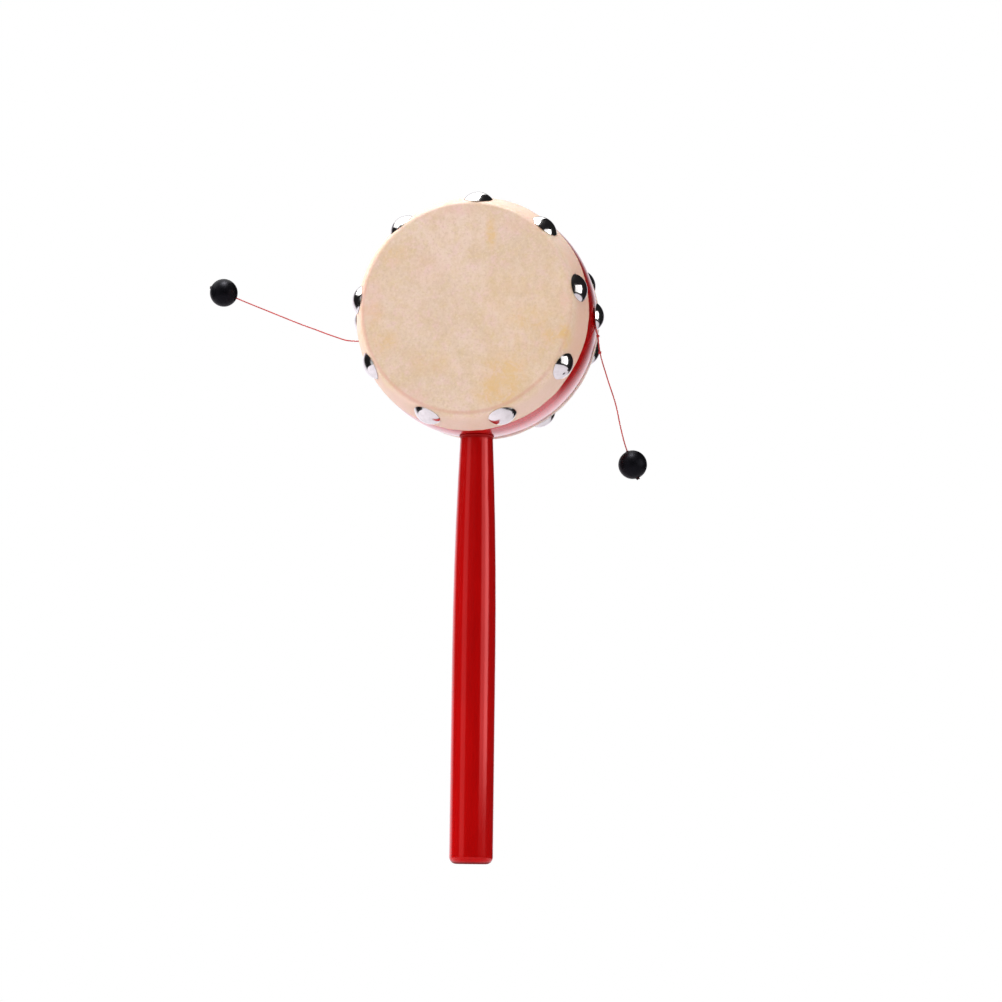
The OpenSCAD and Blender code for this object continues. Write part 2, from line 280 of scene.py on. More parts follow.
def twisted(line, diameter, start_angle=0.0):
    """A thread of three plies laid round a line."""
    line = even(line, TWIST_PITCH / STEPS_PER_PITCH)
    ply_r = diameter * PLY_R_SHARE
    lay_r = diameter / 2 - ply_r
    count = len(line)
    frames = []
    side = (line[1] - line[0]).normalized().orthogonal().normalized()
    for i in range(count):
        along = (line[min(i + 1, count - 1)] - line[max(i - 1, 0)]).normalized()
        side = (side - along * side.dot(along)).normalized()
        frames.append((side, along.cross(side)))
    parts = []
    for ply in range(PLIES):
        centres, radii = [], []
        for i, (across, other) in enumerate(frames):
            travelled = i / STEPS_PER_PITCH
            wobble = TWIST_WOBBLE * noise.noise(Vector((travelled * TWIST_WOBBLE_RATE, ply * 7.0, 1.0)))
            angle = 2 * math.pi * (travelled + wobble + ply / PLIES) + start_angle
            swell = noise.noise(Vector((travelled * PLY_UNEVEN_RATE, 3.0, ply * 5.0)))
            centres.append(line[i] + lay_r * (across * math.cos(angle) + other * math.sin(angle)))
            radii.append(ply_r * (1 + PLY_UNEVEN * swell))
        parts.append(tube(centres, radii, PLY_SIDES))
    return merge(parts)


def knot(centre, along, size, turn=0.0):
    """A tight overhand knot whose outside is about as wide as size."""
    reach = size / 2 - KNOT_THREAD_R
    side = along.orthogonal().normalized()
    other = along.cross(side)
    line = []
    for i in range(KNOT_STEPS):
        t = 2 * math.pi * i / KNOT_STEPS + turn
        x = (math.sin(t) + 2 * math.sin(2 * t)) / 3
        y = (math.cos(t) - 2 * math.cos(2 * t)) / 3
        z = -math.sin(3 * t)
        line.append(centre + reach * (side * x * KNOT_WIDE + other * y * KNOT_WIDE + along * z * KNOT_LONG))
    return tube(line, [KNOT_THREAD_R] * KNOT_STEPS, KNOT_SIDES, closed=True)


def core(centre, radius):
    """A small ball that fills a knot's middle."""
    rings, sides = CORE_RINGS, CORE_SIDES
    vertices = [centre + Vector((0, 0, radius))]
    for i in range(1, rings):
        lift = math.pi * i / rings
        for k in range(sides):
            angle = 2 * math.pi * k / sides
            vertices.append(centre + radius * Vector((
                math.sin(lift) * math.cos(angle), math.sin(lift) * math.sin(angle), math.cos(lift))))
    vertices.append(centre - Vector((0, 0, radius)))
    faces = [(0, 1 + k, 1 + (k + 1) % sides) for k in range(sides)]
    for i in range(rings - 2):
        for k in range(sides):
            a = 1 + i * sides + k
            b = 1 + i * sides + (k + 1) % sides
            faces.append((a, a + sides, b + sides, b))
    last = len(vertices) - 1
    low = 1 + (rings - 2) * sides
    faces += [(low + (k + 1) % sides, low + k, last) for k in range(sides)]
    return vertices, faces


def filled_knot(centre, along, size, turn=0.0):
    """An overhand knot with the ball in its middle."""
    return merge([knot(centre, along, size, turn), core(centre, size * CORE_SHARE)])


# Cords

def placed(route, side):
    """A route's points in the part's frame, in millimetres."""
    return [Vector((side * (TIE_X + out), 0, DRUM_Z + TIE_Z + up)) for out, up in route]


def way_at(points, at):
    """The direction of a route at one of its points."""
    return (points[at + 1] - points[at - 1]).normalized()


def cord_piece(name, shape, body, node, material):
    """A piece of cord that rides on a body and replaces a CAD node."""
    piece = new_piece(name, *in_metres(shape), material)
    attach(piece, body)
    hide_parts(node)
    return piece


def make_hitch(side, word, material):
    """The bight round the nail under the dome, and its two leads down to the tie knot."""
    foot = Vector((BELLY_R + LEAD_OUT, 0, -CORD_TACK_D / 2 + DOME_WALL / 2))
    knot_at = Vector((TIE_X, 0, TIE_Z))
    lead = foot.lerp(knot_at, 1 - TIE_START / (knot_at - foot).length)
    half = Vector((0, LEAD_HALF, 0))
    turn = [
        Vector((HITCH_X, HITCH_R * math.cos(math.radians(angle)), HITCH_R * math.sin(math.radians(angle))))
        for angle in range(0, 181, HITCH_STEP)
    ]
    points = [lead + half * LEAD_PINCH, foot + half] + turn + [foot - half, lead - half * LEAD_PINCH]
    points = [Vector((side * p.x, p.y, p.z + DRUM_Z)) for p in points]
    shape = twisted(smooth(points, HITCH_STEPS), CORD_D)
    cord_piece(word + "_hitch", shape, "drum", word + "_cord_hitch", material)


def loop_strands(line):
    """The right cord's two strands, which spread between the tie knot and the loop knot."""
    last = len(line) - 1
    start = line[0] + (line[1] - line[0]).normalized() * TIE_START
    strands = []
    for end in (-1, 1):
        strand = []
        for i in range(1, last + 1):
            spread = LOOP_START + (LOOP_SPREAD - LOOP_START) * math.sin(math.pi * i / last)
            at = start if i == 1 else line[i]
            strand.append(at + Vector((0, end * spread, 0)))
        strands.append(twisted(strand, CORD_D, float(end)))
    return strands


def make_bead_knots(points, bead_at, word, material):
    """The stop knot before the bead and the end knot past it."""
    way = way_at(points, bead_at)
    middle = points[bead_at]
    stop = middle - way * (BEAD_D / 2 + KNOT_IN)
    end = middle + way * (BEAD_D / 2 + KNOT_OUT)
    shape = merge([
        filled_knot(stop, way, STOP_KNOT_D),
        filled_knot(end, way, END_KNOT_D, END_KNOT_TURN),
    ])
    return cord_piece(word + "_knots", shape, word + "_outer_cord", word + "_bead_knots", material)


def make_cord(route, side, word, bead_at, material, knot_material):
    """A whole cord from its tie knot to its end, baked in place, with its knots on their bodies."""
    points = placed(route, side)
    line = smooth(points, CURVE_STEPS)
    looped = word == "right"
    parts = []
    single = line
    if looped:
        loop_end = RIGHT_LOOP_AT * CURVE_STEPS
        parts = loop_strands(line[:loop_end + 1])
        single = line[loop_end:]
    parts.append(twisted(single, CORD_D))
    cord = new_piece(word + "_cord", *in_metres(merge(parts)), material)
    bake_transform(cord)
    nodes = [word + "_cord_inner", word + "_cord_outer"]
    if looped:
        nodes.append("right_loop_strands")
    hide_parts(*nodes)
    tie = filled_knot(points[0], Vector((0, 1, 0)), TIE_KNOT_D)
    with_pieces = [cord_piece(word + "_tie", tie, word + "_tie", word + "_tie_knot", material)]
    if looped:
        loop = filled_knot(points[RIGHT_LOOP_AT], Vector((0, 0, 1)), LOOP_KNOT_D, LOOP_KNOT_TURN)
        with_pieces.append(
            cord_piece("right_loop_tie", loop, "right_inner_cord", "right_loop_knot", material))
    with_pieces.append(make_bead_knots(points, bead_at, word, knot_material))
    with_pieces.append(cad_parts[word + "_bead"])


# Shader nodes

MIX_SHARE, MIX_A, MIX_B, MIX_RESULT = 0, 6, 7, 2


def feed(tree, socket, value):
    """Sets a socket to a number or a colour, or links another node's output to it."""
    if isinstance(value, bpy.types.NodeSocket):
        tree.links.new(value, socket)
    elif isinstance(value, tuple):
        socket.default_value = (*value, 1.0)
    else:
        socket.default_value = value


def calc_node(tree, operation, *values):
    """The result of a sum on up to three numbers or outputs."""
    node = tree.nodes.new("ShaderNodeMath")
    node.operation = operation
    for socket, value in zip(node.inputs, values):
        feed(tree, socket, value)
    return node.outputs["Value"]


def vector_node(tree, operation, a, b=None):
    """A vector sum node on an output and a fixed vector."""
    node = tree.nodes.new("ShaderNodeVectorMath")
    node.operation = operation
    tree.links.new(a, node.inputs[0])
    if b is not None:
        node.inputs[1].default_value = b
    return node


def mix_node(tree, share, a, b):
    """Colour a where the share is 0 and colour b where it is 1."""
    node = tree.nodes.new("ShaderNodeMix")
    node.data_type = "RGBA"
    for index, value in ((MIX_SHARE, share), (MIX_A, a), (MIX_B, b)):
        feed(tree, node.inputs[index], value)
    return node.outputs[MIX_RESULT]


def ease_node(tree, value, low, high, out_low, out_high):
    """A smooth step of a value from low to high."""
    node = tree.nodes.new("ShaderNodeMapRange")
    node.interpolation_type = "SMOOTHSTEP"
    limits = {"From Min": low, "From Max": high, "To Min": out_low, "To Max": out_high}
    for name, limit in limits.items():
        node.inputs[name].default_value = limit
    tree.links.new(value, node.inputs["Value"])
    return node.outputs["Result"]


class Paint:
    """A procedural material on one Principled shader, with its colour, roughness and bump."""

    def __init__(self, name):
        self.material = bpy.data.materials.new(name)
        self.material.use_nodes = True
        self.tree = self.material.node_tree
        self.shader = self.tree.nodes["Principled BSDF"]
        self.place = self.tree.nodes.new("ShaderNodeTexCoord").outputs["Object"]

    def set(self, **values):
        """Constants on the shader's own sockets, with _ for a space in their names."""
        for name, value in values.items():
            self.shader.inputs[name.replace("_", " ")].default_value = value

    def link(self, source, name):
        """Links an output to one of the shader's sockets."""
        self.tree.links.new(source, self.shader.inputs[name])

    def stretched(self, scale):
        """The object's coordinates, scaled along each axis."""
        node = self.tree.nodes.new("ShaderNodeMapping")
        node.inputs["Scale"].default_value = scale
        self.tree.links.new(self.place, node.inputs["Vector"])
        return node.outputs["Vector"]

    def noise(self, scale, detail=4.0, roughness=0.55, distortion=0.0, place=None):
        """Cloudy noise, scale waves to the metre."""
        node = self.tree.nodes.new("ShaderNodeTexNoise")
        node.inputs["Scale"].default_value = scale
        node.inputs["Detail"].default_value = detail
        node.inputs["Roughness"].default_value = roughness
        node.inputs["Distortion"].default_value = distortion
        self.tree.links.new(place or self.place, node.inputs["Vector"])
        return node.outputs["Fac"]

    def cells(self, scale):
        """Distance from the nearest of some scattered points, scale of them to the metre."""
        node = self.tree.nodes.new("ShaderNodeTexVoronoi")
        node.inputs["Scale"].default_value = scale
        self.tree.links.new(self.place, node.inputs["Vector"])
        return node.outputs["Distance"]

    def ease(self, value, low, high, out_low=0.0, out_high=1.0):
        """A smooth step of a value from low to high."""
        return ease_node(self.tree, value, low, high, out_low, out_high)

    def calc(self, operation, *values):
        """The result of a sum on up to three numbers or outputs."""
        return calc_node(self.tree, operation, *values)

    def times(self, a, b):
        """The product of two numbers or outputs."""
        return calc_node(self.tree, "MULTIPLY", a, b)

    def mix(self, share, a, b):
        """Colour a where the share is 0 and colour b where it is 1."""
        return mix_node(self.tree, share, a, b)

    def axis(self, name):
        """The object's own X, Y or Z, in metres."""
        node = self.tree.nodes.new("ShaderNodeSeparateXYZ")
        self.tree.links.new(self.place, node.inputs["Vector"])
        return node.outputs[name]

    def distance(self, centre, reach):
        """Distance from a point in units of a reach along each axis, in metres."""
        shifted = vector_node(self.tree, "SUBTRACT", self.place, centre).outputs["Vector"]
        shrunk = vector_node(self.tree, "DIVIDE", shifted, reach).outputs["Vector"]
        return vector_node(self.tree, "LENGTH", shrunk).outputs["Value"]

    def bump(self, height, strength, distance, base=None):
        """A bumped normal, on top of another where one is given."""
        node = self.tree.nodes.new("ShaderNodeBump")
        node.inputs["Strength"].default_value = strength
        node.inputs["Distance"].default_value = distance
        self.tree.links.new(height, node.inputs["Height"])
        if base is not None:
            self.tree.links.new(base, node.inputs["Normal"])
        return node.outputs["Normal"]


# Hide material

PEACH, TAN = (0.80, 0.60, 0.485), (0.725, 0.54, 0.405)
OCHRE, GOLD, ROSE = (0.70, 0.50, 0.325), (0.72, 0.535, 0.31), (0.82, 0.56, 0.555)
PORE_DARK, PORE_LIGHT = (0.63, 0.43, 0.30), (0.86, 0.69, 0.57)
ROSY_STAIN, YELLOW_STAIN = (0.80, 0.50, 0.46), (0.75, 0.485, 0.215)
FIBRE_BROWN, SPECK_BROWN = (0.60, 0.42, 0.29), (0.40, 0.22, 0.12)
FOLD_RED = (0.72, 0.37, 0.29)
# The skirt's darker, duller colour low on the front is painted shade.
SKIRT_PINK, SKIRT_LOW_SHADE, SKIRT_RUDDY = (0.84, 0.60, 0.49), (0.61, 0.405, 0.36), (0.70, 0.33, 0.25)
# The pale colour of the rear cut edge is painted light.
CUT_ORANGE, CUT_PAINTED_LIGHT = (0.78, 0.40, 0.24), (0.96, 0.89, 0.83)
FOLD_LINE_R = 0.0367
ANY_DEPTH = 1e6

# Stains on the front head: place and reach from its middle in millimetres, and strength
ROSY_STAINS = [
    ((-34.0, 3.0), (5.0, 9.0), 0.5), ((34.5, 1.5), (1.8, 5.0), 0.6), ((-8.0, 34.5), (16.0, 2.6), 0.4),
    ((19.0, 29.0), (7.0, 4.0), 0.35), ((-20.0, -30.5), (9.0, 4.5), 0.4), ((-14.0, 14.0), (8.0, 6.0), 0.25),
]
YELLOW_STAINS = [
    ((13.7, -23.0), (9.0, 6.5), 0.75), ((11.5, -30.0), (9.0, 6.0), 0.8), ((34.7, -9.0), (2.6, 2.8), 1.0),
    ((30.3, -11.0), (4.0, 3.4), 0.75), ((21.9, -4.5), (7.0, 4.5), 0.55), ((8.5, 26.0), (2.2, 6.5), 0.7),
    ((-25.6, 18.8), (5.0, 4.0), 0.6), ((-32.9, -1.2), (4.0, 6.0), 0.4), ((-28.8, -11.8), (6.0, 5.0), 0.5),
    ((37.0, -13.9), (4.0, 3.5), 0.6), ((-12.0, -19.0), (10.0, 5.0), 0.3), ((24.0, -7.0), (24.0, 28.0), 0.22),
]


def hide_mottle(paint, medium, fine):
    """Broad patches of peach and tan under smaller golden, rosy, dark and light ones."""
    broad = paint.noise(55, 5, 0.6, 0.3)
    golden = paint.noise(300, 6, 0.75, 0.5)
    rosy = paint.noise(290, 6, 0.68, 0.4)
    base = paint.mix(paint.ease(broad, 0.35, 0.68), PEACH, TAN)
    base = paint.mix(paint.ease(medium, 0.42, 0.68, 0.0, 0.75), base, OCHRE)
    base = paint.mix(paint.ease(golden, 0.47, 0.68, 0.0, 0.65), base, GOLD)
    base = paint.mix(paint.ease(rosy, 0.48, 0.68, 0.0, 0.5), base, ROSE)
    base = paint.mix(paint.ease(fine, 0.5, 0.7, 0.0, 0.5), base, PORE_DARK)
    return paint.mix(paint.ease(fine, 0.48, 0.3, 0.0, 0.4), base, PORE_LIGHT)


def hide_stains(paint, base):
    """The front head's rosy and yellow stains, broken up by noise."""
    patchy = paint.ease(paint.noise(260, 6, 0.7, 0.6), 0.38, 0.62)
    for stains, stained in ((ROSY_STAINS, ROSY_STAIN), (YELLOW_STAINS, YELLOW_STAIN)):
        for (x, z), (reach_x, reach_z), strength in stains:
            centre = (x * MM, -FACE_Y * MM, (DRUM_Z + z) * MM)
            off = paint.distance(centre, (reach_x * MM, 1.0, reach_z * MM))
            near = paint.ease(off, 1.25, 0.35, 0.0, strength)
            share = paint.times(near, paint.calc("MULTIPLY_ADD", patchy, 0.7, 0.3))
            base = paint.mix(share, base, stained)
    return base


def hide_marks(paint, base):
    """Brown fibres that run up the hide, and a few dark specks."""
    fibres = paint.noise(420, 5, 0.7, 0.0, paint.stretched((1.0, 1.0, 0.28)))
    base = paint.mix(paint.ease(fibres, 0.55, 0.78, 0.0, 0.3), base, FIBRE_BROWN)
    specks = paint.ease(paint.cells(330), 0.075, 0.03, 0.0, 0.5)
    sparse = paint.ease(paint.noise(120, 2), 0.56, 0.66)
    return paint.mix(paint.times(specks, sparse), base, SPECK_BROWN)


def hide_fold_line(paint, base):
    """The reddish line where the face turns over the rim, strongest low down and at the left."""
    ring = paint.distance((0, -FACE_Y * MM, DRUM_Z * MM), (1.0, ANY_DEPTH, 1.0))
    off_fold = paint.calc("ABSOLUTE", paint.calc("SUBTRACT", ring, FOLD_LINE_R))
    fold = paint.ease(off_fold, 0.001, 0.0001, 0.0, 0.45)
    below = paint.ease(paint.axis("Z"), (DRUM_Z + 28) * MM, (DRUM_Z + 2) * MM, 0.25, 1.0)
    aside = paint.ease(paint.axis("X"), 0.033, 0.022, 0.3, 1.0)
    return paint.mix(paint.times(fold, paint.times(below, aside)), base, FOLD_RED)


def hide_skirt(paint, base):
    """A pinker skirt, with painted shade in a duller colour at the front's bottom, ruddy at the right, and
    its cut edge, with painted light on the rear one.
    """
    depth = paint.calc("ABSOLUTE", paint.axis("Y"))
    in_front = paint.ease(paint.axis("Y"), 0.0, -0.005)
    behind = paint.ease(paint.axis("Y"), 0.0, 0.005)
    skirt = paint.ease(depth, (FACE_Y - 0.2) * MM, (FACE_Y - 4.5) * MM, 0.0, 0.5)
    base = paint.mix(skirt, base, SKIRT_PINK)
    # Painted shade: the front skirt's bottom, which faces down, is painted a darker, duller colour.
    low = paint.ease(paint.axis("Z"), (DRUM_Z - 6) * MM, (DRUM_Z - 30) * MM, 0.0, 0.8)
    base = paint.mix(paint.times(skirt, paint.times(low, in_front)), base, SKIRT_LOW_SHADE)
    at_right = paint.ease(paint.axis("X"), 0.031, 0.041, 0.0, 0.8)
    base = paint.mix(paint.times(skirt, at_right), base, SKIRT_RUDDY)
    front_edge = paint.ease(depth, (SKIRT_Y + 0.5) * MM, (SKIRT_Y + 0.05) * MM, 0.0, 0.5)
    base = paint.mix(paint.times(front_edge, in_front), base, CUT_ORANGE)
    # Painted light: the rear cut edge is painted pale, as if lit from behind, which also makes up for the
    # shade next to the shell.
    rear_edge_light = paint.ease(depth, (SKIRT_Y + 1.0) * MM, (SKIRT_Y + 0.3) * MM, 0.0, 0.95)
    return paint.mix(paint.times(rear_edge_light, behind), base, CUT_PAINTED_LIGHT)


def hide_paint():
    """Dried hide: peach tan, mottled with yellow, fine fibres, specks and a fold line."""
    paint = Paint("hide_skin")
    medium = paint.noise(135, 6, 0.62, 0.4)
    fine = paint.noise(1300, 3, 0.65)
    base = hide_mottle(paint, medium, fine)
    for layer in (hide_stains, hide_marks, hide_fold_line, hide_skirt):
        base = layer(paint, base)
    paint.link(base, "Base Color")
    paint.link(paint.ease(medium, 0.3, 0.75, 0.48, 0.66), "Roughness")
    paint.link(paint.bump(medium, 0.3, 0.00025, paint.bump(fine, 0.35, 0.00006)), "Normal")
    paint.set(Subsurface_Weight=0.12, Subsurface_Scale=0.001, Specular_IOR_Level=0.4)
    return paint.material


# Lacquer, metal, bead and thread materials

RED_LIGHT, RED_DEEP, RED_GRAIN = (0.485, 0.0009, 0.001), (0.435, 0.0006, 0.0008), (0.24, 0.0006, 0.0008)
# The darker red at the handle's top is painted shade under the drum.
RED_LIP_SHADE, RED_END, DUST = (0.28, 0.0005, 0.0006), (0.10, 0.0003, 0.0004), (0.06, 0.004, 0.004)
RED_SHINE, BLUE_SHINE = (1.0, 0.1, 0.1, 1.0), (0.86, 0.84, 1.0, 1.0)
LACQUER_IOR = 1.6
NICKEL_LIGHT, NICKEL_GREY = (0.87, 0.85, 0.84), (0.74, 0.71, 0.70)
BLACK_DEEP, BLACK_LIGHT, PORE_GREY = (0.0030, 0.0029, 0.0040), (0.0055, 0.0052, 0.0072), (0.02, 0.018, 0.02)
THREAD_RED, THREAD_DEEP, THREAD_FADED = (0.62, 0.045, 0.045), (0.48, 0.026, 0.028), (0.74, 0.13, 0.12)
DIPPED_BLACK, DIPPED_RED, DIPPED_GREY = (0.012, 0.008, 0.009), (0.14, 0.012, 0.013), (0.05, 0.03, 0.03)


def lacquer_paint(name, grain_stretch, coats, on_handle):
    """Glossy red lacquer over turned wood: soft colour shifts, faint turning marks, dust nibs."""
    paint = Paint(name)
    broad = paint.noise(30, 3, 0.5)
    grain = paint.noise(300, 5, 0.6, 0.2, paint.stretched(grain_stretch))
    base = paint.mix(paint.ease(broad, 0.35, 0.65), RED_LIGHT, RED_DEEP)
    base = paint.mix(paint.ease(grain, 0.45, 0.8, 0.0, 0.35), base, RED_GRAIN)
    nibs = paint.ease(paint.cells(260), 0.05, 0.02, 0.0, 0.6)
    sparse = paint.ease(paint.noise(70, 2), 0.62, 0.7)
    base = paint.mix(paint.times(nibs, sparse), base, DUST)
    rough = paint.ease(broad, 0.3, 0.7, 0.12, 0.17)
    coat = paint.ease(broad, 0.3, 0.7, *coats)
    if on_handle:
        base, rough, coat = handle_ends(paint, base, rough, coat)
    paint.link(base, "Base Color")
    paint.link(rough, "Roughness")
    paint.link(coat, "Coat Weight")
    peel = paint.bump(paint.noise(210, 3, 0.5), 0.12, 0.00008)
    paint.link(peel, "Normal")
    paint.link(peel, "Coat Normal")
    paint.set(Coat_Roughness=0.15, Coat_IOR=LACQUER_IOR, IOR=LACQUER_IOR)
    paint.set(Specular_IOR_Level=1.0, Specular_Tint=RED_SHINE)
    return paint.material


def handle_ends(paint, base, rough, coat):
    """The handle's dull end grain at its foot, and painted shade at its top, a darker red where it sits
    under the drum.
    """
    height = paint.axis("Z")
    end_grain = paint.ease(height, 0.0012, 0.0002)
    rounding = paint.ease(height, 0.0035, 0.0015)
    # Painted shade: the handle's top, under the drum, is painted a darker red.
    lip_shade = paint.ease(height, LIP_Z * MM, (LIP_Z + 0.5) * MM)
    base = paint.mix(lip_shade, paint.mix(end_grain, base, RED_END), RED_LIP_SHADE)
    for mask, dulled in ((end_grain, 0.85), (lip_shade, 0.5)):
        rough = paint.calc("MAXIMUM", rough, paint.times(mask, dulled))
    for mask in (rounding, lip_shade):
        coat = paint.times(coat, paint.calc("SUBTRACT", 1.0, mask))
    return base, rough, coat


def nickel_paint():
    """Bright nickel plate on pressed domes, with fine scratches and slightly uneven pressing."""
    paint = Paint("nickel_plate")
    haze = paint.noise(380, 5, 0.65)
    scratches = paint.noise(2600, 3, 0.6, 0.0, paint.stretched((1.0, 0.05, 0.3)))
    paint.link(paint.mix(paint.ease(haze, 0.4, 0.75), NICKEL_LIGHT, NICKEL_GREY), "Base Color")
    rough = paint.ease(haze, 0.4, 0.75, 0.11, 0.18)
    rough = paint.calc("ADD", rough, paint.ease(scratches, 0.6, 0.75, 0.0, 0.05))
    paint.link(rough, "Roughness")
    paint.link(paint.bump(paint.noise(240, 2, 0.5), 0.05, 0.0001), "Normal")
    paint.set(Metallic=1.0)
    return paint.material


def bead_paint():
    """Satin black paint on a small wooden bead: pores, soft sheen and rubbed spots."""
    paint = Paint("bead_black")
    pores = paint.noise(1500, 5, 0.7)
    broad = paint.noise(320, 3, 0.5)
    base = paint.mix(paint.ease(broad, 0.4, 0.7), BLACK_DEEP, BLACK_LIGHT)
    base = paint.mix(paint.ease(pores, 0.66, 0.8, 0.0, 0.4), base, PORE_GREY)
    paint.link(base, "Base Color")
    paint.link(paint.ease(broad, 0.3, 0.7, 0.33, 0.43), "Roughness")
    paint.link(paint.bump(pores, 0.25, 0.00006, paint.bump(broad, 0.2, 0.0002)), "Normal")
    paint.set(Specular_IOR_Level=0.08, Specular_Tint=BLUE_SHINE)
    return paint.material


def cord_paint():
    """Red cotton thread: each ply's fibres, faded and darker stretches, a soft sheen."""
    paint = Paint("cord_red")
    fibres = paint.noise(7000, 3, 0.6)
    shift = paint.noise(240, 4, 0.6)
    base = paint.mix(paint.ease(shift, 0.35, 0.7), THREAD_RED, THREAD_DEEP)
    base = paint.mix(paint.ease(fibres, 0.5, 0.8, 0.0, 0.5), base, THREAD_FADED)
    paint.link(base, "Base Color")
    paint.link(paint.ease(fibres, 0.3, 0.7, 0.7, 0.9), "Roughness")
    paint.link(paint.bump(fibres, 0.5, 0.00004), "Normal")
    paint.set(Sheen_Weight=0.25, Sheen_Roughness=0.5, Specular_IOR_Level=0.25)
    return paint.material


def dipped_paint():
    """Thread that took up the bead's black paint, with red fibres where it is thin."""
    paint = Paint("cord_dipped")
    fibres = paint.noise(5000, 4, 0.7)
    worn = paint.ease(paint.noise(1400, 3, 0.6), 0.5, 0.72, 0.0, 0.7)
    base = paint.mix(worn, DIPPED_BLACK, DIPPED_RED)
    base = paint.mix(paint.ease(fibres, 0.55, 0.8, 0.0, 0.3), base, DIPPED_GREY)
    paint.link(base, "Base Color")
    paint.link(paint.ease(fibres, 0.3, 0.7, 0.5, 0.75), "Roughness")
    paint.link(paint.bump(fibres, 0.5, 0.00004), "Normal")
    paint.set(Specular_IOR_Level=0.2)
    return paint.material


# Hide heads, in millimetres

SPOKES = 288
FACE_RINGS = 30
FACE_SPREAD = 0.8
FOLD_STEPS = 9
SKIRT_STEPS = 16
INNER_SKIP = 4
INNER_FOLD_STEPS = 3
INNER_FACE_RADII = (30, 20, 10, 0)
CUT_CORNER = 0.08
OUTER_COUNT = FACE_RINGS + FOLD_STEPS + 1 + SKIRT_STEPS + 1

FACE_DIP = 0.09
FACE_DIP_R = 33
FACE_UNEVEN = 0.035
FACE_WAVES = 0.09
PULL_DEGREES = 8.0
PUCKER = 0.16
PUCKER_RIPPLE = 0.22
RIPPLES = [(9.0, 0.5), (23.0, 0.3)]
DENT = 0.10
DENT_AT = 0.42
DENT_REACH = 0.22
LOWEST = -0.12
SKIRT_UNEVEN = 0.02
SKIRT_WAVES = 31.0
RING_SHIFT = 0.4
EDGE_WAVE = 0.32
EDGE_WAVES = 5.0
EDGE_SHIFT = Vector((0, 0, 4.0))
EDGE_RIPPLE = 0.12
FRONT_SEED, REAR_SEED = 1.7, 5.3


def arc_point(x, y, radius, angle, share):
    """A point of the head's section on an arc, as hide_section lists it."""
    out = (math.cos(angle), math.sin(angle))
    return x + radius * out[0], y + radius * out[1], out, share


def hide_section():
    """The head's section from the middle of its outside to the skirt's edge and back inside.

    Each point is (radius, depth towards the face, outward normal, share of the skirt)."""
    outer_r = ARC_R + HIDE_OUT
    inner_r = ARC_R + HIDE_GAP
    edge_angle = math.asin(SKIRT_Y / outer_r)
    section = [
        (ROUND_X * (i / FACE_RINGS) ** FACE_SPREAD, FACE_Y, (0, 1), 0.0) for i in range(FACE_RINGS)
    ]
    for i in range(FOLD_STEPS + 1):
        angle = math.pi / 2 - (math.pi / 2 - ROUND_ANGLE) * i / FOLD_STEPS
        section.append(arc_point(ROUND_X, ROUND_Y, RIM_ROUND + HIDE_OUT, angle, 0.0))
    for i in range(1, SKIRT_STEPS + 1):
        share = i / SKIRT_STEPS
        angle = ROUND_ANGLE + (edge_angle - ROUND_ANGLE) * share
        section.append(arc_point(ARC_X, 0, outer_r, angle, share))
    for r in (outer_r - CUT_CORNER, inner_r + CUT_CORNER):
        section.append(arc_point(ARC_X, 0, r, edge_angle, 1.0))
    for i in range(SKIRT_STEPS, -1, -INNER_SKIP):
        share = i / SKIRT_STEPS
        angle = ROUND_ANGLE + (edge_angle - ROUND_ANGLE) * share
        section.append(arc_point(ARC_X, 0, inner_r, angle, share))
    for i in range(1, INNER_FOLD_STEPS + 1):
        angle = ROUND_ANGLE + (math.pi / 2 - ROUND_ANGLE) * i / INNER_FOLD_STEPS
        section.append(arc_point(ROUND_X, ROUND_Y, RIM_ROUND + HIDE_GAP, angle, 0.0))
    for r in INNER_FACE_RADII:
        section.append((r, HALF_DEPTH + HIDE_GAP, (0, 1), 0.0))
    return section


def pull_of_tacks(angle, tacks):
    """1 at a tack, falling to 0 halfway between two."""
    pull = 0.0
    for tack in tacks:
        off = (math.degrees(angle) - tack + 180) % 360 - 180
        pull = max(pull, math.exp(-(off / PULL_DEGREES) ** 2))
    return pull


def hide_lift(i, r, share, around, pull, ripple):
    """How far the outside stands off its plain section at ring i: dip, puckers and dents."""
    if i < FACE_RINGS:
        dip = FACE_DIP * max(0, 1 - (r / FACE_DIP_R) ** 4)
        at = Vector((around.x * r * FACE_WAVES, around.y * r * FACE_WAVES, around.z))
        return FACE_UNEVEN * noise.noise(at) - dip
    if i < OUTER_COUNT:
        lift = share * (1 - pull) * (PUCKER + PUCKER_RIPPLE * ripple)
        lift -= DENT * pull * math.exp(-((share - DENT_AT) / DENT_REACH) ** 2)
        lift = max(lift, LOWEST)
        return lift + SKIRT_UNEVEN * noise.noise(around * SKIRT_WAVES + Vector((0, 0, i * RING_SHIFT)))
    return 0.0


